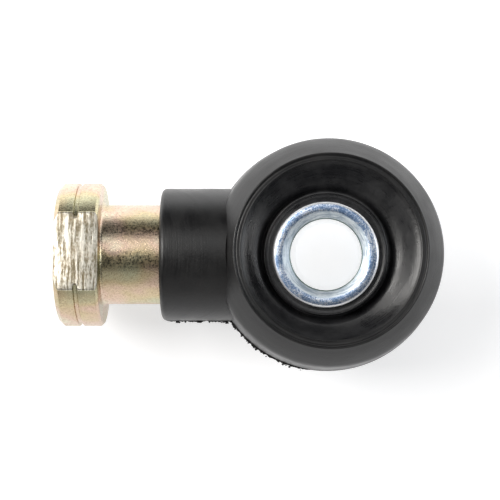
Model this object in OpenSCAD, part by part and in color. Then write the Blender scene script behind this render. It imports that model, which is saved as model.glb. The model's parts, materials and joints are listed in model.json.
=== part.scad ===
// Tie rod end: a sealed ball joint in a rubber-covered eye, on a neck that ends
// in a two-flat collar with a left-hand threaded hole.
// Millimetres. Origin at the centre of the ball, eye axis along Z, neck along -X.

/* [Housing] */
// Outside diameter of the steel eye ring
ring_od = 38.1; // [37.5:0.1:38.5]
// Width of the eye ring along its axis
ring_width = 19.05; // [18.8:0.05:19.2]
// Bore of the eye ring, where the races sit
ring_bore = 29.2; // [29:0.1:29.6]
// Diameter of the round shank
shank_dia = 19.05; // [18:0.05:19.2]

/* [Collar and thread] */
// Distance from the eye's centre to the collar's end face
end_distance = 50.85; // [49:0.05:54]
// Length of the collar
collar_length = 8.15; // [7:0.05:10]
// Diameter of the collar
collar_dia = 27.4; // [26:0.1:29]
// Distance across the collar's two flats
across_flats = 23.6; // [22:0.1:25]
// Width of the groove that marks the left-hand thread
mark_width = 0.9; // [0.5:0.1:1.5]
// Depth of that groove
mark_depth = 0.45; // [0.2:0.05:0.8]
// Diameter of the threaded hole at the tips of its thread
thread_minor_dia = 11.5; // [11.4:0.05:11.6]
// Depth of the full-diameter hole
thread_depth = 26; // [20:0.5:27]

/* [Ball and sleeve] */
// Diameter of the ball
ball_dia = 25.4; // [25.2:0.05:25.6]
// Width of the ball across its two flat faces
ball_width = 15; // [14:0.1:15.4]
// Outside diameter of the sleeve, pressed through the ball
sleeve_od = 19.05; // [18.9:0.05:19.2]
// Bore of the sleeve
sleeve_bore = 12.8; // [12.7:0.05:13.5]
// Length of the sleeve
sleeve_length = 31.75; // [31:0.05:33]
// Width of the countersink at each end of the sleeve's bore
bore_chamfer = 1.5; // [0.5:0.1:2]
// Depth of that countersink
chamfer_depth = 0.9; // [0.5:0.1:1.5]
// Lean of the resting sleeve towards the eye's -X side, in degrees
lean_to_neck = 4; // [0:0.1:8]
// Lean of the resting sleeve towards the eye's -Y side, in degrees
lean_to_side = 3.2; // [0:0.1:8]

/* [Rubber] */
// Outside diameter of the rubber around the eye, at mid-width
cover_dia = 44.45; // [44:0.05:45]
// Height of the cover's rim above mid-width
rim_height = 14; // [13.6:0.1:14.4]
// Radius of the rim's crest
crest_radius = 17.9; // [17.4:0.1:18.4]
// Draft of the cover's side wall, in degrees
wall_draft = 5.7; // [4:0.1:7]
// Slope of the bevel below the rim, in degrees from upright
bevel_angle = 35; // [32:0.5:38]
// Rounding between the side wall and the bevel
shoulder_radius = 5; // [2:0.5:6]
// Radius of the opening inside the rim
mouth_radius = 16.4; // [16:0.1:16.6]
// Diameter of the rubber on the neck
neck_dia = 25.4; // [24:0.1:26]
// Distance from the eye's centre to the end of the neck's rubber
neck_end = 31.5; // [29:0.1:34]
// Rounding of the neck's end edge
neck_rounding = 1; // [0.5:0.1:1.5]
// Outside diameter of the seal lip around the sleeve
lip_od = 22; // [21.6:0.1:22.2]
// Height of the lip's free end above mid-width
lip_top = 14.3; // [14:0.1:14.6]
// Height of the lip's root above mid-width
lip_root = 9.5; // [9.2:0.1:9.7]
// Height at which the sealing diaphragm meets the mouth
web_mouth = 13.4; // [13:0.1:13.6]
// Thickness of the sealing diaphragm
web_thickness = 0.9; // [0.8:0.1:1.3]

/* [Hidden] */
$fn = 96;
eps = 0.01;                    // overshoot of a cutting tool past a face
beyond = 100;                  // longer than the whole part

ring_r = ring_od / 2;
bore_r = ring_bore / 2;
seat_half = 7;                 // half-length of the ring's inner bore
stop_r = 13.9;                 // radius inside the ring's rear shoulder
race_half = 5;                 // depth of the rear race from mid-width
front_race_top = 4.2;
race_clearance = 0.03;         // running clearance around the ball
circlip_bottom = 5.05;
circlip_thickness = 1.15;
circlip_groove_depth = 0.7;
circlip_inner_r = 13.8;
circlip_gap = 40;              // degrees
washer_inner_r = 12.4;
washer_thickness = 0.45;
washer_outer_r = bore_r - 0.1;

shank_r = shank_dia / 2;
collar_r = collar_dia / 2;
collar_start = end_distance - collar_length;
collar_end_chamfer = 0.9;
collar_start_chamfer = 0.5;
thread_r = thread_minor_dia / 2;
thread_mouth_chamfer = 1;
drill_point = thread_r * tan(31);     // a 118-degree drill's point
bead_leg = 2.2;

sleeve_r = sleeve_od / 2;
sleeve_edge = 0.3;
lip_clearance = 0.05;          // running clearance of the lip on the sleeve
lip_r = lip_od / 2;
lip_rounding = 0.7;

cover_r = cover_dia / 2;
shoulder_z = (crest_radius + rim_height * tan(bevel_angle) - cover_r)
             / (tan(bevel_angle) - tan(wall_draft));
shoulder_r = cover_r - shoulder_z * tan(wall_draft);
neck_start = (mouth_radius + crest_radius) / 2;   // the neck begins inside the eye's wall
web_gap = 0.02;                // keeps the diaphragm's facets off its neighbours

steel = [0.62, 0.64, 0.66];
zinc = [0.80, 0.84, 0.90];
yellow_zinc = [0.80, 0.68, 0.48];
acetal = [0.90, 0.89, 0.85];
spring_steel = [0.35, 0.36, 0.38];
rubber = [0.09, 0.09, 0.10];

// Turns its children so that their Z axis runs out along the neck.
module along_neck() {
    rotate([0, -90, 0]) children();
}

// Leans the ball, the sleeve and the lips together, as they rest.
module leaned() {
    rotate([lean_to_side, -lean_to_neck, 0]) children();
}

module threaded_shank() {
    color(yellow_zinc) difference() {
        along_neck() {
            cylinder(r = shank_r, h = collar_start + eps);
            collar();
        }
        cylinder(r = ring_r, h = beyond, center = true);
        along_neck() threaded_hole();
    }
}

module collar() {
    intersection() {
        rotate_extrude() difference() {
            polygon([
                [0, collar_start], [collar_r - collar_start_chamfer, collar_start],
                [collar_r, collar_start + collar_start_chamfer],
                [collar_r, end_distance - collar_end_chamfer],
                [collar_r - collar_end_chamfer, end_distance], [0, end_distance]
            ]);
            translate([collar_r - mark_depth, collar_start + collar_length / 2 - mark_width / 2])
                square([collar_r, mark_width]);
        }
        cube([across_flats, beyond, 2 * beyond], center = true);
    }
}

module threaded_hole() {
    translate([0, 0, end_distance - thread_depth]) {
        cylinder(r = thread_r, h = thread_depth + eps);
        translate([0, 0, -drill_point]) cylinder(r1 = 0, r2 = thread_r, h = drill_point);
    }
    translate([0, 0, end_distance - thread_mouth_chamfer])
        cylinder(r1 = thread_r, r2 = thread_r + thread_mouth_chamfer, h = thread_mouth_chamfer);
}

// Fillet weld that joins the shank to the ring.
module weld_bead() {
    color(steel) difference() {
        bead_body();
        cylinder(r = ring_r, h = beyond, center = true);
        along_neck() cylinder(r = shank_r, h = beyond);
    }
}

module bead_body() {
    along_neck() {
        cylinder(r = shank_r + bead_leg, h = ring_r);
        translate([0, 0, ring_r]) cylinder(r1 = shank_r + bead_leg, r2 = shank_r, h = bead_leg);
    }
}

module eye_ring() {
    color(steel) difference() {
        cylinder(r = ring_r, h = ring_width, center = true);
        cylinder(r = stop_r, h = beyond, center = true);
        translate([0, 0, -race_half]) cylinder(r = bore_r, h = beyond);
        for (side = [0, 1]) mirror([0, 0, side])
            translate([0, 0, seat_half]) cylinder(r = mouth_radius, h = beyond);
        translate([0, 0, circlip_bottom])
            cylinder(r = bore_r + circlip_groove_depth, h = circlip_thickness);
    }
}

// One half of the split race: a collar that is hollowed to fit the ball.
module race(height) {
    difference() {
        cylinder(r = bore_r, h = height);
        sphere(r = ball_dia / 2 + race_clearance);
    }
}

module rear_race() {
    color(acetal) mirror([0, 0, 1]) race(race_half);
}

module front_race() {
    color(acetal) race(front_race_top);
}

// Conical spring washer that takes up the races' wear.
module preload_washer() {
    color(spring_steel) rotate_extrude() polygon([
        [washer_inner_r, front_race_top], [washer_outer_r, circlip_bottom - washer_thickness],
        [washer_outer_r, circlip_bottom], [washer_inner_r, front_race_top + washer_thickness]
    ]);
}

module snap_ring() {
    color(spring_steel) translate([0, 0, circlip_bottom]) rotate([0, 0, circlip_gap / 2])
        rotate_extrude(angle = 360 - circlip_gap) translate([circlip_inner_r, 0])
            square([bore_r + circlip_groove_depth - circlip_inner_r, circlip_thickness]);
}

module ball() {
    color(steel) leaned() difference() {
        intersection() {
            sphere(r = ball_dia / 2);
            cylinder(r = ball_dia, h = ball_width, center = true);
        }
        cylinder(r = sleeve_r, h = beyond, center = true);
    }
}

module sleeve() {
    half = sleeve_length / 2;
    bore = sleeve_bore / 2;
    color(zinc) leaned() rotate_extrude() polygon([
        [bore, chamfer_depth - half], [bore + bore_chamfer, -half],
        [sleeve_r - sleeve_edge, -half], [sleeve_r, sleeve_edge - half],
        [sleeve_r, half - sleeve_edge], [sleeve_r - sleeve_edge, half],
        [bore + bore_chamfer, half], [bore, half - chamfer_depth]
    ]);
}

function outward(angle) = [cos(angle), sin(angle)];

// Half-section of the eye's rubber: drafted wall, round shoulder, bevel, flat rim.
module eye_section() {
    corner = [shoulder_r, shoulder_z];
    wall_side = outward(wall_draft);
    bevel_side = outward(bevel_angle);
    centre = corner - shoulder_radius * (wall_side + bevel_side) / (1 + wall_side * bevel_side);
    polygon([
        [mouth_radius, 0], [cover_r, 0], centre + shoulder_radius * wall_side,
        centre + shoulder_radius * bevel_side, [crest_radius, rim_height], [mouth_radius, rim_height]
    ]);
    intersection() {
        polygon([centre, [cover_r, 0], corner, [crest_radius, rim_height]]);
        translate(centre) circle(r = shoulder_radius);
    }
}

module neck_section() {
    neck_r = neck_dia / 2;
    square([neck_r, neck_end - neck_rounding]);
    square([neck_r - neck_rounding, neck_end]);
    translate([neck_r - neck_rounding, neck_end - neck_rounding]) circle(r = neck_rounding);
}

module rubber_cover() {
    color(rubber) difference() {
        union() {
            for (side = [0, 1]) mirror([0, 0, side]) rotate_extrude() eye_section();
            difference() {
                along_neck() rotate_extrude() neck_section();
                cylinder(r = neck_start, h = beyond, center = true);
            }
        }
        cylinder(r = ring_r, h = ring_width, center = true);
        along_neck() cylinder(r = shank_r, h = beyond);
        difference() {
            bead_body();
            cylinder(r = ring_r, h = beyond, center = true);
        }
    }
}

// Thin dished diaphragm between the cover's mouth and the lip's root.
module web() {
    difference() {
        dish(web_mouth - web_thickness, lip_root);
        dish(web_mouth, lip_root + web_thickness);
        leaned() cylinder(r = lip_r + web_gap, h = beyond);
    }
}

// Solid between a disc in the cover's mouth and the leaned disc of the lip's root.
module dish(mouth_z, root_z) {
    hull() {
        translate([0, 0, mouth_z])
            cylinder(r = mouth_radius - web_gap, h = rim_height - mouth_z);
        leaned() translate([0, 0, root_z]) cylinder(r = lip_r + 0.6, h = eps);
    }
}

module front_web() {
    color(rubber) web();
}

// The front diaphragm turned through the eye's centre, as the lean is.
module rear_web() {
    color(rubber) mirror([0, 1, 0]) rotate([0, 180, 0]) web();
}

// Soft ring that seals against the sleeve.
module lip() {
    bore = sleeve_r + lip_clearance;
    rotate_extrude() {
        translate([bore, lip_root]) square([lip_r - bore, lip_top - lip_rounding - lip_root]);
        translate([bore, lip_root]) square([lip_r - bore - lip_rounding, lip_top - lip_root]);
        translate([lip_r - lip_rounding, lip_top - lip_rounding]) circle(r = lip_rounding);
    }
}

module front_lip() {
    color(rubber) leaned() lip();
}

module rear_lip() {
    color(rubber) leaned() mirror([0, 0, 1]) lip();
}

threaded_shank();
weld_bead();
eye_ring();
rear_race();
front_race();
preload_washer();
snap_ring();
ball();
sleeve();
rubber_cover();
front_web();
rear_web();
front_lip();
rear_lip();
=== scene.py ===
import bpy
import json
import math
import random
from mathutils import Matrix, Vector, noise


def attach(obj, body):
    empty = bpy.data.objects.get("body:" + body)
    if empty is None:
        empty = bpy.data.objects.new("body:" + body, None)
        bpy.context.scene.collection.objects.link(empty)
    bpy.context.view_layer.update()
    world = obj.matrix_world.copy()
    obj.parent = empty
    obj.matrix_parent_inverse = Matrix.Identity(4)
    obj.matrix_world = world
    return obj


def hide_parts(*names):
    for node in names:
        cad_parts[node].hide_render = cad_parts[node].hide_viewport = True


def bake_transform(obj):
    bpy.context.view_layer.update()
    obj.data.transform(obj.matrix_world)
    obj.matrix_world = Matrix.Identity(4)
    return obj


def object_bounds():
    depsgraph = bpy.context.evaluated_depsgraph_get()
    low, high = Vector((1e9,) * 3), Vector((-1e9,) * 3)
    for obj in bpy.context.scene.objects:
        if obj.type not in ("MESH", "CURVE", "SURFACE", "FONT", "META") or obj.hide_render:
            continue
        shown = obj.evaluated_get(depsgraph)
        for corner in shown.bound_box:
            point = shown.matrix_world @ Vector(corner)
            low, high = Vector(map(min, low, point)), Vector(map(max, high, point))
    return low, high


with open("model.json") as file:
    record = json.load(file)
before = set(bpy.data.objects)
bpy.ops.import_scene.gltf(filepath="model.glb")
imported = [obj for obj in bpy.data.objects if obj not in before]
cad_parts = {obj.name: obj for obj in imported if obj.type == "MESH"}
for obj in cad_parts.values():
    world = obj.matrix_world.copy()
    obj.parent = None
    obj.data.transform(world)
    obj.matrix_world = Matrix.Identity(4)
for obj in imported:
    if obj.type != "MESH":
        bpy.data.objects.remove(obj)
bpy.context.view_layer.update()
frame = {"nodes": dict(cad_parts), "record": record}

mm = 0.001
weldGap = 0.004 * mm      # points closer than this are merged
mounts = {m["name"]: m for m in frame["record"]["mounts"]}
boreAxis = Vector(mounts["sleeve_bore"]["axis"])
leanTurn = Vector((0, 0, 1)).rotation_difference(boreAxis).to_matrix().to_4x4()
alongNeck = Matrix.Rotation(math.radians(-90), 4, "Y")      # Z of a turned piece runs out to -X
print("frame loaded")


# helpers used by every piece
def deselectAll():
    if bpy.context.object and bpy.context.object.mode != "OBJECT":
        bpy.ops.object.mode_set(mode="OBJECT")
    bpy.ops.object.select_all(action="DESELECT")


def pick(piece):
    deselectAll()
    piece.select_set(True)
    bpy.context.view_layer.objects.active = piece


def arcPoints(centreR, centreZ, radius, fromDeg, toDeg, steps):
    points = []
    for i in range(steps + 1):
        a = math.radians(fromDeg + (toDeg - fromDeg) * i / steps)
        points.append((centreR + radius * math.cos(a), centreZ + radius * math.sin(a)))
    return points


def straight(start, end, steps):
    return [(start[0] + (end[0] - start[0]) * i / steps, start[1] + (end[1] - start[1]) * i / steps)
            for i in range(steps)]


# goes on from the last point round an arc, given the facing angle at its start and its end
def turnFace(points, radius, fromDeg, toDeg, steps):
    r, z = points[-1]
    a = math.radians(fromDeg)
    centre = (r - radius * math.cos(a), z - radius * math.sin(a))
    return points + arcPoints(centre[0], centre[1], radius, fromDeg, toDeg, steps)[1:]


def goOn(points, length, headingDeg, steps):
    r, z = points[-1]
    a = math.radians(headingDeg)
    end = (r + length * math.cos(a), z + length * math.sin(a))
    return points[:-1] + straight((r, z), end, steps) + [end]


# draws a half-section one vertex at a time and spins it round Z
def turnOnLathe(name, outline, steps, closed=True):
    deselectAll()
    bpy.ops.mesh.primitive_plane_add(size=mm, location=(0, 0, 0))
    piece = bpy.context.object
    piece.name = name
    bpy.ops.object.mode_set(mode="EDIT")
    bpy.ops.mesh.select_mode(type="VERT")
    bpy.ops.mesh.merge(type="CENTER")
    bpy.ops.transform.translate(value=(outline[0][0] * mm, 0, outline[0][1] * mm))
    for here, there in zip(outline, outline[1:]):
        step = ((there[0] - here[0]) * mm, 0, (there[1] - here[1]) * mm)
        bpy.ops.mesh.extrude_region_move(TRANSFORM_OT_translate={"value": step})
    bpy.ops.mesh.select_all(action="SELECT")
    if closed:
        bpy.ops.mesh.edge_face_add()
        bpy.ops.mesh.delete(type="ONLY_FACE")
        bpy.ops.mesh.select_all(action="SELECT")
    bpy.ops.mesh.spin(steps=steps, angle=2 * math.pi, center=(0, 0, 0), axis=(0, 0, 1))
    bpy.ops.mesh.select_all(action="SELECT")
    bpy.ops.mesh.remove_doubles(threshold=weldGap)
    bpy.ops.mesh.normals_make_consistent(inside=False)
    bpy.ops.object.mode_set(mode="OBJECT")
    return piece


def placeBy(piece, turn):
    piece.data.transform(turn)
    piece.data.update()


def cutOrJoin(piece, tool, operation):
    pick(piece)
    modifier = piece.modifiers.new("cut", "BOOLEAN")
    modifier.operation = operation
    modifier.solver = "EXACT"
    modifier.object = tool
    bpy.ops.object.modifier_apply(modifier=modifier.name)
    bpy.data.objects.remove(tool, do_unlink=True)


def smoothByAngle(piece, degrees):
    pick(piece)
    bpy.ops.object.shade_smooth_by_angle(angle=math.radians(degrees))


def roundEdges(piece, width, degrees):
    pick(piece)
    modifier = piece.modifiers.new("rounding", "BEVEL")
    modifier.width = width * mm
    modifier.segments = 3
    modifier.limit_method = "ANGLE"
    modifier.angle_limit = math.radians(degrees)
    modifier.harden_normals = False
    bpy.ops.object.modifier_apply(modifier=modifier.name)


cover = {
    "eyeR": 22.225, "wallDraft": 5.7, "wallTop": 8.0, "shoulderArc": 4.2,
    "bevelLow": 31, "bevelHigh": 38, "bevelArc": 42.2, "partingHeight": 0.09, "crestArc": 0.23,
    "mouthR": 16.4, "mouthZ": 13.78, "ringR": 19.05, "ringHalf": 9.525,
    "neckR": 12.7, "neckEnd": 31.5, "neckRounding": 1.0,
    "shankR": 9.525, "beadLeg": 2.2, "landZ": 11.5, "wallFoot": 0.7, "wallSteps": 5,
    "neckStart": 12.0, "neckSteps": 128, "overlap": 0.15, "toolFrom": 15, "toolTo": 40,
    "cutterHalf": 20, "steps": 192,
}


# mould line, drafted wall, round shoulder, bevel, beaded crest, flat rim and the step into the mouth
def eyeOutline():
    c = cover
    upper = [(c["eyeR"] + c["partingHeight"] * 0.8, 0.06), (c["eyeR"] - 0.02, 0.24)]
    wallTopR = c["eyeR"] - c["wallTop"] * math.tan(math.radians(c["wallDraft"]))
    wallFootR = c["eyeR"] - c["wallFoot"] * math.tan(math.radians(c["wallDraft"]))
    upper += straight((wallFootR, c["wallFoot"]), (wallTopR, c["wallTop"]), c["wallSteps"])
    upper += [(wallTopR, c["wallTop"])]
    upper = turnFace(upper, c["shoulderArc"], c["wallDraft"], c["bevelLow"], 6)
    upper = turnFace(upper, c["bevelArc"], c["bevelLow"], c["bevelHigh"], 6)
    upper = turnFace(upper, c["crestArc"], c["bevelHigh"] - 12, 150, 8)
    r, z = upper[-1]
    upper += [(r - 0.10, z - 0.12), (r - 0.24, z - 0.15), (r - 0.40, z - 0.09)]
    r, z = upper[-1]
    ledge = c["mouthR"] + 0.30
    upper = upper[:-1] + straight((r, z), (ledge, c["mouthZ"] + 0.10), 5)
    upper += [(ledge, c["mouthZ"] + 0.10), (ledge - 0.08, c["mouthZ"] + 0.13),
              (ledge - 0.17, c["mouthZ"] + 0.11), (c["mouthR"], c["mouthZ"])]
    inside = [(c["mouthR"], c["landZ"]), (c["mouthR"], c["ringHalf"]), (c["ringR"], c["ringHalf"])]
    half = upper + inside
    return [(c["eyeR"] + c["partingHeight"], 0)] + half + [(r, -z) for r, z in reversed(half)]


def neckOutline(inner):
    c = cover
    outer = straight((c["neckR"], c["neckStart"]), (c["neckR"], c["neckEnd"] - c["neckRounding"]), 16)
    corner = arcPoints(c["neckR"] - c["neckRounding"], c["neckEnd"] - c["neckRounding"],
                       c["neckRounding"], 0, 90, 8)
    return outer + corner + [(inner, c["neckEnd"]), (inner, c["neckStart"])]


# plain cylinder about the eye's axis, to cut a neck piece back to the eye
def makeEyeCutter(radius):
    reach = cover["cutterHalf"]
    outline = [(0, -reach), (radius, -reach), (radius, reach), (0, reach)]
    return turnOnLathe("eyeCutter", outline, cover["steps"], closed=False)


# the space that the shank and its weld bead take up in the neck
def makeShankTool():
    c = cover
    beadR = c["shankR"] + c["beadLeg"]
    outline = [(0, c["toolFrom"]), (beadR, c["toolFrom"]), (beadR, c["ringR"]),
               (c["shankR"], c["ringR"] + c["beadLeg"]), (c["shankR"], c["toolTo"]), (0, c["toolTo"])]
    tool = turnOnLathe("shankTool", outline, c["neckSteps"], closed=False)
    placeBy(tool, alongNeck)
    cutOrJoin(tool, makeEyeCutter(c["ringR"] - c["overlap"]), "DIFFERENCE")
    return tool


def makeCover():
    c = cover
    eye = turnOnLathe("rubber_cover_skin", eyeOutline(), c["steps"])
    neck = turnOnLathe("neckRubber", neckOutline(c["shankR"] - 2), c["neckSteps"])
    placeBy(neck, alongNeck)
    cutOrJoin(neck, makeEyeCutter(c["ringR"] + c["overlap"]), "DIFFERENCE")
    cutOrJoin(eye, neck, "UNION")
    cutOrJoin(eye, makeShankTool(), "DIFFERENCE")
    smoothByAngle(eye, 32)
    return eye


coverSkin = makeCover()
print("rubber cover made", len(coverSkin.data.polygons))


flash = {"seed": 7, "start": 30.6, "eyeTo": 262, "reach": 0.55, "thickness": 0.16, "sunk": 0.25,
         "cuts": 320, "crumbs": 44, "crumbSize": (0.10, 0.27), "tears": 22, "nicks": 90}


# a place on the lower side of the mould line, and which way is out
def mouldLine(share):
    neckR = cover["neckR"]
    eyeR = cover["eyeR"] + cover["partingHeight"]
    cornerX = -math.sqrt(eyeR ** 2 - neckR ** 2)
    cornerDeg = 180 + math.degrees(math.asin(neckR / eyeR))
    neckRun = flash["start"] + cornerX
    eyeRun = math.radians(flash["eyeTo"] - cornerDeg) * eyeR
    run = share * (neckRun + eyeRun)
    if run < neckRun:
        return Vector((-flash["start"] + run, -neckR, 0)), Vector((0, -1, 0))
    a = math.radians(cornerDeg) + (run - neckRun) / eyeR
    out = Vector((math.cos(a), math.sin(a), 0))
    return out * eyeR, out


def makeFlash():
    s = flash
    random.seed(s["seed"])
    deselectAll()
    bpy.ops.mesh.primitive_grid_add(x_subdivisions=s["cuts"], y_subdivisions=3, size=1,
                                    location=(0.5, 0.5, 0))
    fin = bpy.context.object
    fin.name = "mould_flash"
    bpy.ops.object.transform_apply(location=True)
    for v in fin.data.vertices:
        share, height = v.co.x, v.co.y
        place, out = mouldLine(share)
        torn = 0.42 + 0.55 * noise.noise(Vector((share * s["tears"], 3.1, 0)))
        torn += 0.75 * noise.noise(Vector((share * s["nicks"], 8.7, 0))) * max(0, torn + 0.2)
        edge = math.sin(math.pi * min(max(share, 0), 1)) ** 0.35
        reach = s["reach"] * edge * max(torn, 0.04)
        wave = 0.10 * noise.noise(Vector((share * 40, height * 2, 5.5)))
        v.co = (place + out * (height * (s["sunk"] + reach) - s["sunk"]) + Vector((0, 0, wave * height))) * mm
    wall = fin.modifiers.new("wall", "SOLIDIFY")
    wall.thickness = s["thickness"] * mm
    wall.offset = 0
    pick(fin)
    bpy.ops.object.modifier_apply(modifier=wall.name)
    crumbs = []
    for i in range(s["crumbs"]):
        share = random.uniform(0.04, 0.96)
        place, out = mouldLine(share)
        size = random.uniform(*s["crumbSize"])
        deselectAll()
        bpy.ops.mesh.primitive_ico_sphere_add(subdivisions=2, radius=size * mm)
        crumb = bpy.context.object
        centre = place + out * random.uniform(0.05, 0.42) + Vector((0, 0, random.uniform(-0.12, 0.12)))
        for v in crumb.data.vertices:
            lump = 1 + 0.35 * noise.noise(v.co * 6 / (size * mm) + Vector((i, 0, 0)))
            v.co = Vector((v.co.x * lump, v.co.y * lump * 0.85, v.co.z * lump * 0.8)) + centre * mm
        crumbs.append(crumb)
    deselectAll()
    for crumb in crumbs:
        crumb.select_set(True)
    fin.select_set(True)
    bpy.context.view_layer.objects.active = fin
    bpy.ops.object.join()
    smoothByAngle(fin, 60)
    return fin


mouldFlash = makeFlash()
print("mould flash made")


shank = {
    "radius": 9.525, "start": 14.0, "collarStart": 42.7, "end": 50.85, "fillet": 0.75,
    "collarR": 13.7, "halfFlats": 11.8, "innerChamfer": 0.5, "endChamfer": 0.9,
    "markZ": 46.775, "markHalf": 0.45, "markDepth": 0.45,
    "holeR": 5.75, "holeStart": 24.85, "holeChamfer": 1.0, "drillPoint": 3.45,
    "pitch": 1.27, "threadDepth": 0.62, "threadStart": 1.5, "rootSunk": 0.35, "rootHalf": 0.60,
    "crestHalf": 0.10, "threadSteps": 40, "markSlope": 0.12, "edgeRound": 0.10, "steps": 160,
}


def shankOutline():
    s = shank
    collarR = s["collarR"]
    markLow, markHigh = s["markZ"] - s["markHalf"], s["markZ"] + s["markHalf"]
    markR = collarR - s["markDepth"]
    mark = [(collarR, markLow), (markR, markLow + s["markSlope"]),
            (markR, markHigh - s["markSlope"]), (collarR, markHigh)]
    neck = straight((s["radius"], s["start"]), (s["radius"], s["collarStart"] - 1), 12)
    fillet = arcPoints(s["radius"] + s["fillet"], s["collarStart"] - s["fillet"], s["fillet"], 180, 90, 6)
    shoulder = [(collarR - s["innerChamfer"], s["collarStart"]),
                (collarR, s["collarStart"] + s["innerChamfer"])]
    return ([(0, s["start"])] + neck + fillet + shoulder + mark
            + [(collarR, s["end"] - s["endChamfer"]), (collarR - s["endChamfer"], s["end"]),
               (s["holeR"] + s["holeChamfer"], s["end"]), (s["holeR"], s["end"] - s["holeChamfer"]),
               (s["holeR"], s["holeStart"]), (0, s["holeStart"] - s["drillPoint"])])


# the groove between the threads, as a solid to cut away
def makeThreadTool():
    s = shank
    crest = s["holeR"] + s["threadDepth"]
    root = s["holeR"] - s["rootSunk"]
    deselectAll()
    bpy.ops.mesh.primitive_plane_add(size=mm, location=(0, 0, 0))
    tool = bpy.context.object
    bpy.ops.object.mode_set(mode="EDIT")
    bpy.ops.mesh.merge(type="CENTER")
    outline = [(root, -s["rootHalf"]), (crest, -s["crestHalf"]), (crest, s["crestHalf"]),
               (root, s["rootHalf"])]
    start = s["holeStart"] + s["threadStart"]
    bpy.ops.transform.translate(value=(root * mm, 0, (start - s["rootHalf"]) * mm))
    for here, there in zip(outline, outline[1:]):
        step = ((there[0] - here[0]) * mm, 0, (there[1] - here[1]) * mm)
        bpy.ops.mesh.extrude_region_move(TRANSFORM_OT_translate={"value": step})
    bpy.ops.mesh.select_all(action="SELECT")
    bpy.ops.mesh.edge_face_add()
    bpy.ops.object.mode_set(mode="OBJECT")
    screw = tool.modifiers.new("thread", "SCREW")
    screw.angle = -2 * math.pi    # a left-hand thread
    screw.screw_offset = s["pitch"] * mm
    screw.iterations = int((s["end"] - start) / s["pitch"]) + 2
    screw.steps = screw.render_steps = s["threadSteps"]
    screw.use_merge_vertices = False
    bpy.ops.object.modifier_apply(modifier=screw.name)
    bpy.ops.object.mode_set(mode="EDIT")
    bpy.ops.mesh.select_all(action="SELECT")
    bpy.ops.mesh.remove_doubles(threshold=weldGap)
    bpy.ops.mesh.select_non_manifold(extend=False)
    bpy.ops.mesh.fill()
    bpy.ops.mesh.select_all(action="SELECT")
    bpy.ops.mesh.normals_make_consistent(inside=False)
    bpy.ops.object.mode_set(mode="OBJECT")
    return tool


def makeShank():
    s = shank
    piece = turnOnLathe("threaded_shank_turned", shankOutline(), s["steps"], closed=False)
    placeBy(piece, alongNeck)
    for side in (1, -1):
        pick(piece)
        bpy.ops.object.mode_set(mode="EDIT")
        bpy.ops.mesh.select_all(action="SELECT")
        bpy.ops.mesh.bisect(plane_co=(0, 0, side * s["halfFlats"] * mm), plane_no=(0, 0, side),
                            use_fill=True, clear_outer=True)
        bpy.ops.object.mode_set(mode="OBJECT")
    roundEdges(piece, s["edgeRound"], 28)
    tool = makeThreadTool()
    placeBy(tool, alongNeck)
    cutOrJoin(piece, tool, "DIFFERENCE")
    cutOrJoin(piece, makeEyeCutter(cover["ringR"]), "DIFFERENCE")
    smoothByAngle(piece, 24)
    return piece


shankPiece = makeShank()
print("shank made", len(shankPiece.data.polygons))


sleeve = {"radius": 9.525, "bore": 6.4, "half": 15.875, "flareR": 7.9, "flareDepth": 0.9,
          "flareSteps": 6, "flareCurve": 1.35, "faceDrop": 0.03, "edge": 0.32, "wallHalf": 8.0, "steps": 160}


# plain wall, rounded edge, flat face, and a flare that steepens down to the bore's edge
def sleeveOutline():
    c = sleeve
    edge, drop = c["edge"], c["faceDrop"]
    end = [(c["radius"], c["half"] - edge - 0.04), (c["radius"] - 0.02, c["half"] - edge),
           (c["radius"] - edge, c["half"] - drop), (c["radius"] - edge - 0.06, c["half"])]
    end += [(c["flareR"] + 0.10, c["half"]), (c["flareR"], c["half"] - drop)]
    width = c["flareR"] - c["bore"] - 0.05
    for i in range(1, c["flareSteps"] + 1):
        t = i / c["flareSteps"]
        fall = drop + (c["flareDepth"] - drop) * t ** c["flareCurve"]
        end.append((c["flareR"] - width * t, c["half"] - fall))
    boreTop = c["half"] - c["flareDepth"]
    end += [(c["bore"] + 0.01, boreTop - 0.05), (c["bore"], boreTop - 0.14)]
    wall = straight((c["radius"], -c["wallHalf"]), (c["radius"], c["wallHalf"]), 8)
    bottom = [(r, -z) for r, z in reversed(end)]
    return wall + end + bottom


def makeSleeve():
    piece = turnOnLathe("sleeve_turned", sleeveOutline(), sleeve["steps"])
    placeBy(piece, leanTurn)
    smoothByAngle(piece, 40)
    return piece


sleevePiece = makeSleeve()
print("sleeve made")


lip = {"inner": 9.56, "outer": 11.0, "root": 9.5, "top": 14.3, "rounding": 0.35, "steps": 160}
web = {"mouthR": 16.4, "mouthZ": 13.78, "seamR": 13.15, "rootR": 11.05, "thickness": 0.8, "steps": 160,
       "edgeArc": 0.30, "steepest": 31, "flattest": 19, "rollArc": 2.1, "plunge": 66, "wallDrop": 0.30,
       "trenchArc": 0.40, "blendSlack": 0.02}


# straight side, rounded shoulder with a fine witness line, slightly hollow top, thin sealing edge
def lipOutline():
    c = lip
    points = straight((c["outer"] + 0.14, c["root"]), (c["outer"], c["top"] - c["rounding"]), 6)
    points += [(c["outer"], c["top"] - c["rounding"])]
    points = turnFace(points, c["rounding"], 0, 62, 5)
    r, z = points[-1]
    points += [(r - 0.05, z - 0.01), (r - 0.09, z + 0.05), (r - 0.17, z + 0.12)]
    points += [(10.35, c["top"] - 0.05), (10.05, c["top"] - 0.08), (9.80, c["top"] - 0.06),
               (9.66, c["top"] - 0.10), (c["inner"], c["top"] - 0.22)]
    return points + [(c["inner"], c["root"])]


def makeLip(name, side):
    piece = turnOnLathe(name, lipOutline(), lip["steps"])
    if side < 0:
        placeBy(piece, Matrix.Rotation(math.pi, 4, "X"))
    placeBy(piece, leanTurn)
    smoothByAngle(piece, 40)
    return piece


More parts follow.
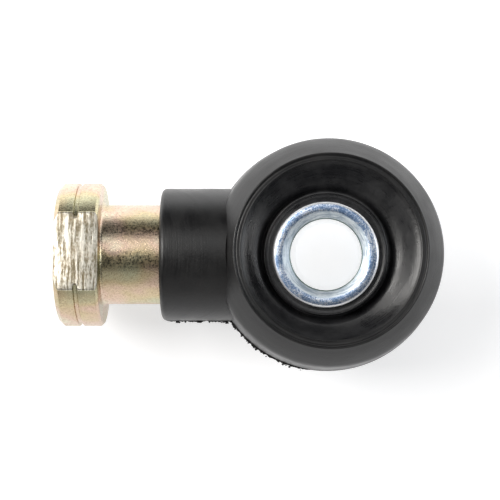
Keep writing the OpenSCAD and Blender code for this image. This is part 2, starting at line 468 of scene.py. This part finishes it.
# outer face of the diaphragm: over the mouth's edge, down a bowl, over a roll and into the trench
def webOutline():
    w = web
    points = turnFace([(w["mouthR"], w["mouthZ"])], w["edgeArc"], 90 + 8, 90 + w["steepest"], 4)
    drop = w["steepest"] - w["flattest"]
    span = points[-1][0] - w["seamR"]
    middle = math.radians((w["steepest"] + w["flattest"]) / 2)
    bowlArc = span / math.cos(middle) / (2 * math.sin(math.radians(drop / 2)))
    points = turnFace(points, -bowlArc, 90 + w["steepest"], 90 + w["flattest"], 14)
    seam = len(points) - 1
    points = turnFace(points, w["rollArc"], 90 + w["flattest"], 90 + w["plunge"], 24)
    points = goOn(points, w["wallDrop"], 180 + w["plunge"], 2)
    points = turnFace(points, -w["trenchArc"], 90 + w["plunge"], 90 - 75, 8)
    points[-1] = (w["rootR"], points[-1][1])
    return points[:seam + 1], points[seam:]


def smoothShare(r, fromR, toR):
    t = min(max((fromR - r) / (fromR - toR), 0), 1)
    return t * t * (3 - 2 * t)


# no lean at the mouth, half of it at the seam and all of it at the lip's root
def leanShare(r):
    return (smoothShare(r, web["mouthR"], web["seamR"]) + smoothShare(r, web["seamR"], web["rootR"])) / 2


def makeWeb(name, side, outline):
    piece = turnOnLathe(name, outline, web["steps"], closed=False)
    if sum(p.normal.z * p.area for p in piece.data.polygons) < 0:
        piece.data.flip_normals()
    for v in piece.data.vertices:
        share = leanShare(math.hypot(v.co.x, v.co.y) / mm)
        v.co = v.co.lerp(leanTurn @ v.co, share)
    if side < 0:
        piece.data.transform(Matrix.Scale(-1, 4))
        piece.data.flip_normals()
    pick(piece)
    bpy.ops.object.shade_smooth()
    bpy.ops.object.mode_set(mode="EDIT")
    bpy.ops.mesh.select_mode(type="EDGE")
    bpy.ops.mesh.select_all(action="DESELECT")
    bpy.ops.mesh.select_non_manifold()
    bpy.ops.mesh.mark_sharp()
    bpy.ops.object.mode_set(mode="OBJECT")
    wall = piece.modifiers.new("wall", "SOLIDIFY")
    wall.thickness = web["thickness"] * mm
    wall.offset = -1
    return piece


frontLip = makeLip("front_lip_moulded", 1)
rearLip = makeLip("rear_lip_moulded", -1)
outerOutline, innerOutline = webOutline()
webs = []
for label, side in (("front", 1), ("rear", -1)):
    outer = makeWeb(label + "_web_outer", side, outerOutline)
    inner = makeWeb(label + "_web_inner", side, innerOutline)
    webs.append((label, side, outer, inner))
print("lips and diaphragms made")


class Finish:
    def __init__(self, name, metallic=0.0, roughness=0.5, specular=0.5):
        self.material = bpy.data.materials.new(name)
        self.material.use_nodes = True
        self.nodes = self.material.node_tree.nodes
        self.links = self.material.node_tree.links
        self.shader = self.nodes["Principled BSDF"]
        self.shader.inputs["Metallic"].default_value = metallic
        self.shader.inputs["Roughness"].default_value = roughness
        self.shader.inputs["Specular IOR Level"].default_value = specular
        self.place = self.nodes.new("ShaderNodeTexCoord").outputs["Object"]

    def link(self, source, target):
        if hasattr(source, "default_value"):
            self.links.new(source, target)
        else:
            target.default_value = source

    def maths(self, operation, first, second=0.0):
        node = self.nodes.new("ShaderNodeMath")
        node.operation = operation
        self.link(first, node.inputs[0])
        self.link(second, node.inputs[1])
        return node.outputs[0]

    # repeats per metre along each axis
    def stretched(self, source, scale):
        node = self.nodes.new("ShaderNodeMapping")
        self.links.new(source, node.inputs["Vector"])
        node.inputs["Scale"].default_value = scale
        return node.outputs["Vector"]

    # noise that varies quickly with radius and height and slowly around the Z axis
    def turnedCoordinates(self, around, across):
        split = self.nodes.new("ShaderNodeSeparateXYZ")
        self.links.new(self.place, split.inputs[0])
        flat = self.nodes.new("ShaderNodeCombineXYZ")
        self.links.new(split.outputs["X"], flat.inputs["X"])
        self.links.new(split.outputs["Y"], flat.inputs["Y"])
        length = self.nodes.new("ShaderNodeVectorMath")
        length.operation = "LENGTH"
        self.links.new(flat.outputs[0], length.inputs[0])
        unit = self.nodes.new("ShaderNodeVectorMath")
        unit.operation = "NORMALIZE"
        self.links.new(flat.outputs[0], unit.inputs[0])
        grown = self.nodes.new("ShaderNodeVectorMath")
        grown.operation = "SCALE"
        self.links.new(unit.outputs[0], grown.inputs[0])
        grown.inputs["Scale"].default_value = around
        profile = self.maths("ADD", length.outputs["Value"], split.outputs["Z"])
        rise = self.nodes.new("ShaderNodeCombineXYZ")
        self.links.new(self.maths("MULTIPLY", profile, across), rise.inputs["Z"])
        total = self.nodes.new("ShaderNodeVectorMath")
        total.operation = "ADD"
        self.links.new(grown.outputs[0], total.inputs[0])
        self.links.new(rise.outputs[0], total.inputs[1])
        return total.outputs[0]

    # distance from the sleeve's leaning axis, in metres
    def distanceFromBore(self):
        level = self.nodes.new("ShaderNodeMapping")
        self.links.new(self.place, level.inputs["Vector"])
        level.inputs["Rotation"].default_value = leanTurn.inverted().to_euler()
        flat = self.nodes.new("ShaderNodeVectorMath")
        flat.operation = "MULTIPLY"
        self.links.new(level.outputs[0], flat.inputs[0])
        flat.inputs[1].default_value = (1, 1, 0)
        length = self.nodes.new("ShaderNodeVectorMath")
        length.operation = "LENGTH"
        self.links.new(flat.outputs[0], length.inputs[0])
        return length.outputs["Value"]

    def grain(self, source, scale, detail=3.0, rough=0.6):
        node = self.nodes.new("ShaderNodeTexNoise")
        self.links.new(source, node.inputs["Vector"])
        node.inputs["Scale"].default_value = scale
        node.inputs["Detail"].default_value = detail
        node.inputs["Roughness"].default_value = rough
        return node.outputs["Fac"]

    def between(self, value, low, high, toLow=0.0, toHigh=1.0):
        node = self.nodes.new("ShaderNodeMapRange")
        self.links.new(value, node.inputs["Value"])
        node.inputs["From Min"].default_value = low
        node.inputs["From Max"].default_value = high
        node.inputs["To Min"].default_value = toLow
        node.inputs["To Max"].default_value = toHigh
        return node.outputs["Result"]

    # colour stops as (place, colour)
    def colours(self, value, stops):
        node = self.nodes.new("ShaderNodeValToRGB")
        self.links.new(value, node.inputs["Fac"])
        ramp = node.color_ramp
        while len(ramp.elements) < len(stops):
            ramp.elements.new(0.5)
        for element, (where, colour) in zip(ramp.elements, stops):
            element.position = where
            element.color = (*colour, 1)
        return node.outputs["Color"]

    def mixed(self, share, first, second):
        node = self.nodes.new("ShaderNodeMix")
        node.data_type = "RGBA"
        self.link(share, node.inputs["Factor"])
        for source, target in ((first, node.inputs[6]), (second, node.inputs[7])):
            if isinstance(source, tuple):
                target.default_value = (*source, 1)
            else:
                self.links.new(source, target)
        return node.outputs[2]

    def base(self, colour):
        self.links.new(colour, self.shader.inputs["Base Color"])

    def roughness(self, value):
        self.links.new(value, self.shader.inputs["Roughness"])

    # heights in millimetres, added one on another
    def relief(self, *layers):
        normal = None
        for value, height in layers:
            bump = self.nodes.new("ShaderNodeBump")
            bump.inputs["Strength"].default_value = 1.0
            bump.inputs["Distance"].default_value = height * mm
            self.links.new(value, bump.inputs["Height"])
            if normal:
                self.links.new(normal, bump.inputs["Normal"])
            normal = bump.outputs["Normal"]
        self.links.new(normal, self.shader.inputs["Normal"])


coverFinish = {"black": (0.0050, 0.0050, 0.0056), "bloom": (0.016, 0.0155, 0.015), "rough": (0.31, 0.45)}


# hard moulded rubber: fine tooth, faint bloom, lathe marks of the mould, brush marks around the neck
def makeCoverRubber():
    f = Finish("coverRubber", specular=0.45)
    blotch = f.grain(f.place, 190, 3.0, 0.6)
    tooth = f.grain(f.place, 3000, 2.0, 0.7)
    rings = f.grain(f.turnedCoordinates(2.0, 2600), 1.0, 3.0, 0.7)
    brush = f.grain(f.stretched(f.place, (2500, 120, 120)), 1.0, 3.0, 0.65)
    split = f.nodes.new("ShaderNodeSeparateXYZ")
    f.links.new(f.place, split.inputs[0])
    onNeck = f.between(split.outputs["X"], -0.0215, -0.0235)
    dust = f.maths("MULTIPLY", f.between(tooth, 0.56, 0.74), f.between(blotch, 0.42, 0.62))
    cloud = f.maths("MULTIPLY", f.between(blotch, 0.35, 0.68), 0.45)
    shade = f.maths("ADD", cloud, f.maths("MULTIPLY", dust, 0.5))
    f.base(f.mixed(shade, coverFinish["black"], coverFinish["bloom"]))
    low, high = coverFinish["rough"]
    f.roughness(f.between(f.maths("ADD", f.maths("MULTIPLY", rings, 0.5), f.maths("MULTIPLY", blotch, 0.5)),
                          0.38, 0.62, low, high))
    neckBrush = f.maths("MULTIPLY", brush, onNeck)
    f.relief((tooth, 0.020), (rings, 0.012), (neckBrush, 0.045))
    return f.material


bootFinish = {"black": (0.0060, 0.0062, 0.0072), "grey": (0.017, 0.017, 0.018), "rough": (0.24, 0.38)}


# softer, smoother rubber with fine rings from the mould
def makeBootRubber():
    f = Finish("bootRubber", specular=0.5)
    blotch = f.grain(f.place, 260, 4.0, 0.65)
    rings = f.grain(f.turnedCoordinates(3.5, 3200), 1.0, 3.0, 0.7)
    tooth = f.grain(f.place, 3600, 2.0, 0.7)
    f.base(f.mixed(f.between(blotch, 0.40, 0.66), bootFinish["black"], bootFinish["grey"]))
    low, high = bootFinish["rough"]
    f.roughness(f.between(f.maths("ADD", f.maths("MULTIPLY", rings, 0.6), f.maths("MULTIPLY", blotch, 0.4)),
                          0.36, 0.64, low, high))
    f.relief((tooth, 0.010), (rings, 0.014), (blotch, 0.06))
    return f.material


yellowFinish = {
    "straw": (0.56, 0.46, 0.29), "pink": (0.62, 0.46, 0.36), "green": (0.50, 0.48, 0.32),
    "pale": (0.64, 0.57, 0.43), "dark": (0.30, 0.19, 0.08), "sawnLight": (0.80, 0.77, 0.70),
    "sawnDark": (0.15, 0.12, 0.08), "flatHeight": 11.6,
}


# passivated zinc: drifting straw, pink and green, open grain, and coarse streaks on the sawn flats
def makeYellowZinc():
    f = Finish("yellowZinc", metallic=1.0)
    c = yellowFinish
    drift = f.grain(f.stretched(f.place, (90, 130, 130)), 1.0, 2.0, 0.5)
    film = f.colours(drift, [(0.34, c["green"]), (0.46, c["straw"]), (0.56, c["pink"]), (0.66, c["pale"])])
    grit = f.grain(f.place, 2600, 3.0, 0.75)
    pits = f.between(grit, 0.52, 0.66)
    turned = f.mixed(f.maths("MULTIPLY", pits, 0.35), film, c["dark"])
    streaks = f.grain(f.stretched(f.place, (2000, 150, 150)), 1.0, 4.0, 0.72)
    flecks = f.grain(f.stretched(f.place, (3200, 1500, 1500)), 1.0, 3.0, 0.7)
    sawing = f.maths("ADD", f.maths("MULTIPLY", streaks, 0.7), f.maths("MULTIPLY", flecks, 0.3))
    sawn = f.mixed(f.between(sawing, 0.43, 0.56), c["sawnDark"], c["sawnLight"])
    sawn = f.mixed(f.between(drift, 0.36, 0.62, 0.15, 0.45), sawn, film)
    split = f.nodes.new("ShaderNodeSeparateXYZ")
    f.links.new(f.place, split.inputs[0])
    height = f.maths("ABSOLUTE", split.outputs["Z"])
    onFlat = f.between(height, c["flatHeight"] * mm, (c["flatHeight"] + 0.1) * mm)
    f.base(f.mixed(onFlat, turned, sawn))
    turnedRough = f.between(grit, 0.40, 0.64, 0.20, 0.42)
    sawnRough = f.between(sawing, 0.40, 0.60, 0.55, 0.38)
    difference = f.maths("MULTIPLY", f.maths("SUBTRACT", sawnRough, turnedRough), onFlat)
    f.roughness(f.maths("ADD", turnedRough, difference))
    lathe = f.grain(f.stretched(f.place, (5200, 25, 25)), 1.0, 2.0, 0.6)
    f.relief((grit, 0.040), (lathe, 0.008), (f.maths("MULTIPLY", sawing, onFlat), 0.10))
    return f.material


# the near-white edge and bore colours are a painted highlight and a painted reflection; the dark green line
# colour is painted shade at the bore's edge
blueFinish = {"white": (0.84, 0.88, 0.92), "blue": (0.27, 0.37, 0.55), "deep": (0.11, 0.18, 0.31),
              "flare": (0.80, 0.86, 0.90), "flareDim": (0.46, 0.54, 0.62), "paintedEdgeHighlight": (0.97, 0.98, 1.0),
              "paintedBoreEdgeShade": (0.16, 0.24, 0.21), "bore": (0.97, 0.98, 0.98),
              "flareBand": (0.05, -0.15), "edgeBand": (-0.425, -0.305), "boreBand": (0.10, 0.03),
              "lineBand": (0.26, 0.18)}


# bright zinc: blue speckle on the face, whiter and ringed in the flare, with a painted white highlight on the
# edge, a painted white reflection on the bore wall and a painted dark shade line at the bore's edge
def makeBlueZinc():
    f = Finish("blueZinc", metallic=1.0)
    c = blueFinish
    rings = f.grain(f.turnedCoordinates(3.0, 2300), 1.0, 3.0, 0.75)
    speck = f.grain(f.place, 3300, 3.0, 0.8)
    clouds = f.grain(f.place, 330, 2.0, 0.55)
    mottle = f.maths("ADD", f.maths("MULTIPLY", speck, 0.65), f.maths("MULTIPLY", rings, 0.35))
    film = f.colours(f.maths("ADD", f.maths("MULTIPLY", mottle, 0.78), f.maths("MULTIPLY", clouds, 0.22)),
                     [(0.42, c["deep"]), (0.49, c["blue"]), (0.56, c["white"])])
    distance = f.distanceFromBore()

    def within(radius, band):
        return f.between(distance, (radius + band[0]) * mm, (radius + band[1]) * mm)

    inFlare = within(sleeve["flareR"], c["flareBand"])
    onEdge = within(sleeve["radius"], c["edgeBand"])
    inBore = within(sleeve["bore"], c["boreBand"])
    outOfBore = f.maths("SUBTRACT", 1.0, inBore)
    # painted dark shade line in a thin band just outside the bore's edge
    boreShadeBand = f.maths("MULTIPLY", within(sleeve["bore"], c["lineBand"]), outOfBore)
    flare = f.mixed(f.between(rings, 0.42, 0.60), c["flareDim"], c["flare"])
    coloured = f.mixed(inFlare, film, flare)
    # the edge band gets a near-white painted highlight and the thin band by the bore gets painted dark shade
    coloured = f.mixed(boreShadeBand, f.mixed(onEdge, coloured, c["paintedEdgeHighlight"]), c["paintedBoreEdgeShade"])
    # the bore wall is painted near-white, a painted reflection of the bright floor
    f.base(f.mixed(inBore, coloured, c["bore"]))
    rough = f.maths("ADD", f.between(mottle, 0.40, 0.62, 0.44, 0.28), f.maths("MULTIPLY", inFlare, 0.22))
    f.roughness(f.maths("MULTIPLY", rough, f.between(inBore, 0.0, 1.0, 1.0, 0.25)))
    f.relief((speck, 0.030), (rings, 0.025))
    return f.material


# turned steel of the hidden parts
def makeSteel(name, tint, rough, pitch):
    f = Finish(name, metallic=1.0)
    rings = f.grain(f.turnedCoordinates(1.5, pitch), 1.0, 2.0, 0.6)
    stain = f.grain(f.place, 240, 4.0, 0.65)
    dim = tuple(0.62 * v for v in tint)
    f.base(f.mixed(f.between(stain, 0.40, 0.66), tint, dim))
    f.roughness(f.between(rings, 0.35, 0.65, rough - 0.08, rough + 0.08))
    f.relief((rings, 0.010))
    return f.material


def makeRacePlastic():
    f = Finish("racePlastic", specular=0.5)
    cloud = f.grain(f.place, 300, 3.0, 0.6)
    tooth = f.grain(f.place, 2400, 2.0, 0.6)
    f.base(f.mixed(f.between(cloud, 0.35, 0.65), (0.74, 0.72, 0.66), (0.64, 0.61, 0.54)))
    f.roughness(f.between(tooth, 0.35, 0.65, 0.30, 0.42))
    f.relief((tooth, 0.006))
    return f.material


coverRubber = makeCoverRubber()
bootRubber = makeBootRubber()
yellowZinc = makeYellowZinc()
blueZinc = makeBlueZinc()
hiddenFinishes = {
    "weld_bead": makeSteel("weldSteel", (0.34, 0.32, 0.30), 0.48, 900),
    "eye_ring": makeSteel("bareSteel", (0.52, 0.52, 0.53), 0.36, 2400),
    "ball": makeSteel("ballSteel", (0.72, 0.73, 0.75), 0.14, 3000),
    "preload_washer": makeSteel("springSteel", (0.22, 0.22, 0.25), 0.38, 1800),
}
hiddenFinishes["snap_ring"] = hiddenFinishes["preload_washer"]
hiddenFinishes["front_race"] = hiddenFinishes["rear_race"] = makeRacePlastic()
print("materials mixed")


def wear(piece, material):
    piece.data.materials.clear()
    piece.data.materials.append(material)


def stand(piece, body, node, material):
    wear(piece, material)
    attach(piece, body)
    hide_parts(node)


stand(coverSkin, "housing", "rubber_cover", coverRubber)
wear(mouldFlash, coverRubber)
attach(mouldFlash, "housing")
stand(shankPiece, "housing", "threaded_shank", yellowZinc)
stand(sleevePiece, "swivel", "sleeve", blueZinc)
stand(frontLip, "lips", "front_lip", bootRubber)
stand(rearLip, "lips", "rear_lip", bootRubber)
# the seam between a diaphragm's two pieces lies square to an axis that leans half as far as the sleeve
for label, side, outer, inner in webs:
    for piece in (outer, inner):
        wear(piece, bootRubber)
        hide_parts(label + "_web")
    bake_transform(outer)
    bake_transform(inner)
for name, finish in hiddenFinishes.items():
    wear(frame["nodes"][name], finish)


def aimAt(thing, target):
    back = (thing.location - Vector(target)).normalized()
    right = Vector((0, 1, 0)).cross(back).normalized()
    up = back.cross(right)
    thing.rotation_euler = Matrix((right, up, back)).transposed().to_euler()


# the floor's emission range is painted light, rising from the near side to the far side
studio = {
    "cameraAt": (-0.0155, -0.0135, 0.24025), "cameraAim": (-0.0147, 0.0009, 0), "lens": 90, "sensor": 36,
    "lightDistance": 0.6, "floorSize": 6, "floorGap": 0.0002, "floorPaintedGlow": (0.64, 1.5),
    "paintedGlowRise": (-0.01, 0.07), "horizonGlow": 0.85, "overheadGlow": 0.03, "overheadFrom": 0.30,
}


def addCamera():
    deselectAll()
    bpy.ops.object.camera_add(location=studio["cameraAt"])
    camera = bpy.context.object
    aimAt(camera, studio["cameraAim"])
    camera.data.lens = studio["lens"]
    camera.data.sensor_width = studio["sensor"]
    camera.data.clip_start = 0.01
    bpy.context.scene.camera = camera


# stands off the piece at an angle from overhead, turned round from +X, and faces it
def addSoftbox(name, fromOverhead, turned, size, power, colour=(1, 1, 1)):
    deselectAll()
    tilt, turn = math.radians(fromOverhead), math.radians(turned)
    away = Vector((math.sin(tilt) * math.cos(turn), math.sin(tilt) * math.sin(turn), math.cos(tilt)))
    bpy.ops.object.light_add(type="AREA", location=away * studio["lightDistance"])
    light = bpy.context.object
    light.name = name
    light.data.shape = "RECTANGLE"
    light.data.size = size[0]
    light.data.size_y = size[1]
    light.data.energy = power
    light.data.color = colour
    aimAt(light, (0, 0, 0))


# pale paper that glows as painted light, which lightens its shadows and grows brighter towards the far side
def addFloor():
    deselectAll()
    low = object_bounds()[0]
    bpy.ops.mesh.primitive_plane_add(size=studio["floorSize"], location=(0, 0, low[2] - studio["floorGap"]))
    floor = bpy.context.object
    floor.name = "floor"
    f = Finish("palePaper", roughness=0.9, specular=0.1)
    fibre = f.grain(f.place, 40, 2.0, 0.5)
    f.base(f.mixed(fibre, (0.53, 0.53, 0.54), (0.56, 0.56, 0.57)))
    f.shader.inputs["Emission Color"].default_value = (1, 1, 1, 1)
    split = f.nodes.new("ShaderNodeSeparateXYZ")
    f.links.new(f.place, split.inputs[0])
    # painted light: the paper glows, more strongly towards the far side, as if lit there
    glow = f.between(split.outputs["Y"], *studio["paintedGlowRise"], *studio["floorPaintedGlow"])
    f.links.new(glow, f.shader.inputs["Emission Strength"])
    wear(floor, f.material)


# dark overhead, white towards the horizon
def addRoom():
    world = bpy.context.scene.world or bpy.data.worlds.new("studio")
    bpy.context.scene.world = world
    world.use_nodes = True
    nodes, links = world.node_tree.nodes, world.node_tree.links
    background = nodes["Background"]
    background.inputs["Color"].default_value = (1, 1, 1, 1)
    direction = nodes.new("ShaderNodeTexCoord")
    split = nodes.new("ShaderNodeSeparateXYZ")
    glow = nodes.new("ShaderNodeMapRange")
    links.new(direction.outputs["Generated"], split.inputs[0])
    links.new(split.outputs["Z"], glow.inputs["Value"])
    glow.inputs["From Min"].default_value = 0.0
    glow.inputs["From Max"].default_value = studio["overheadFrom"]
    glow.inputs["To Min"].default_value = studio["horizonGlow"]
    glow.inputs["To Max"].default_value = studio["overheadGlow"]
    links.new(glow.outputs["Result"], background.inputs["Strength"])


addCamera()
addFloor()
addRoom()
addSoftbox("leftSoftbox", 44, 164, (0.34, 0.30), 3.4, (1, 0.98, 0.95))
addSoftbox("overheadSoftbox", 20, 92, (0.34, 0.34), 0.52)
addSoftbox("rightSoftbox", 54, 4, (0.44, 0.28), 1.25, (0.92, 0.96, 1))
addSoftbox("frontCard", 64, 268, (0.50, 0.56), 0.50, (1, 0.98, 0.96))
bpy.context.scene.view_settings.view_transform = "Standard"
print("camera, floor and light set")
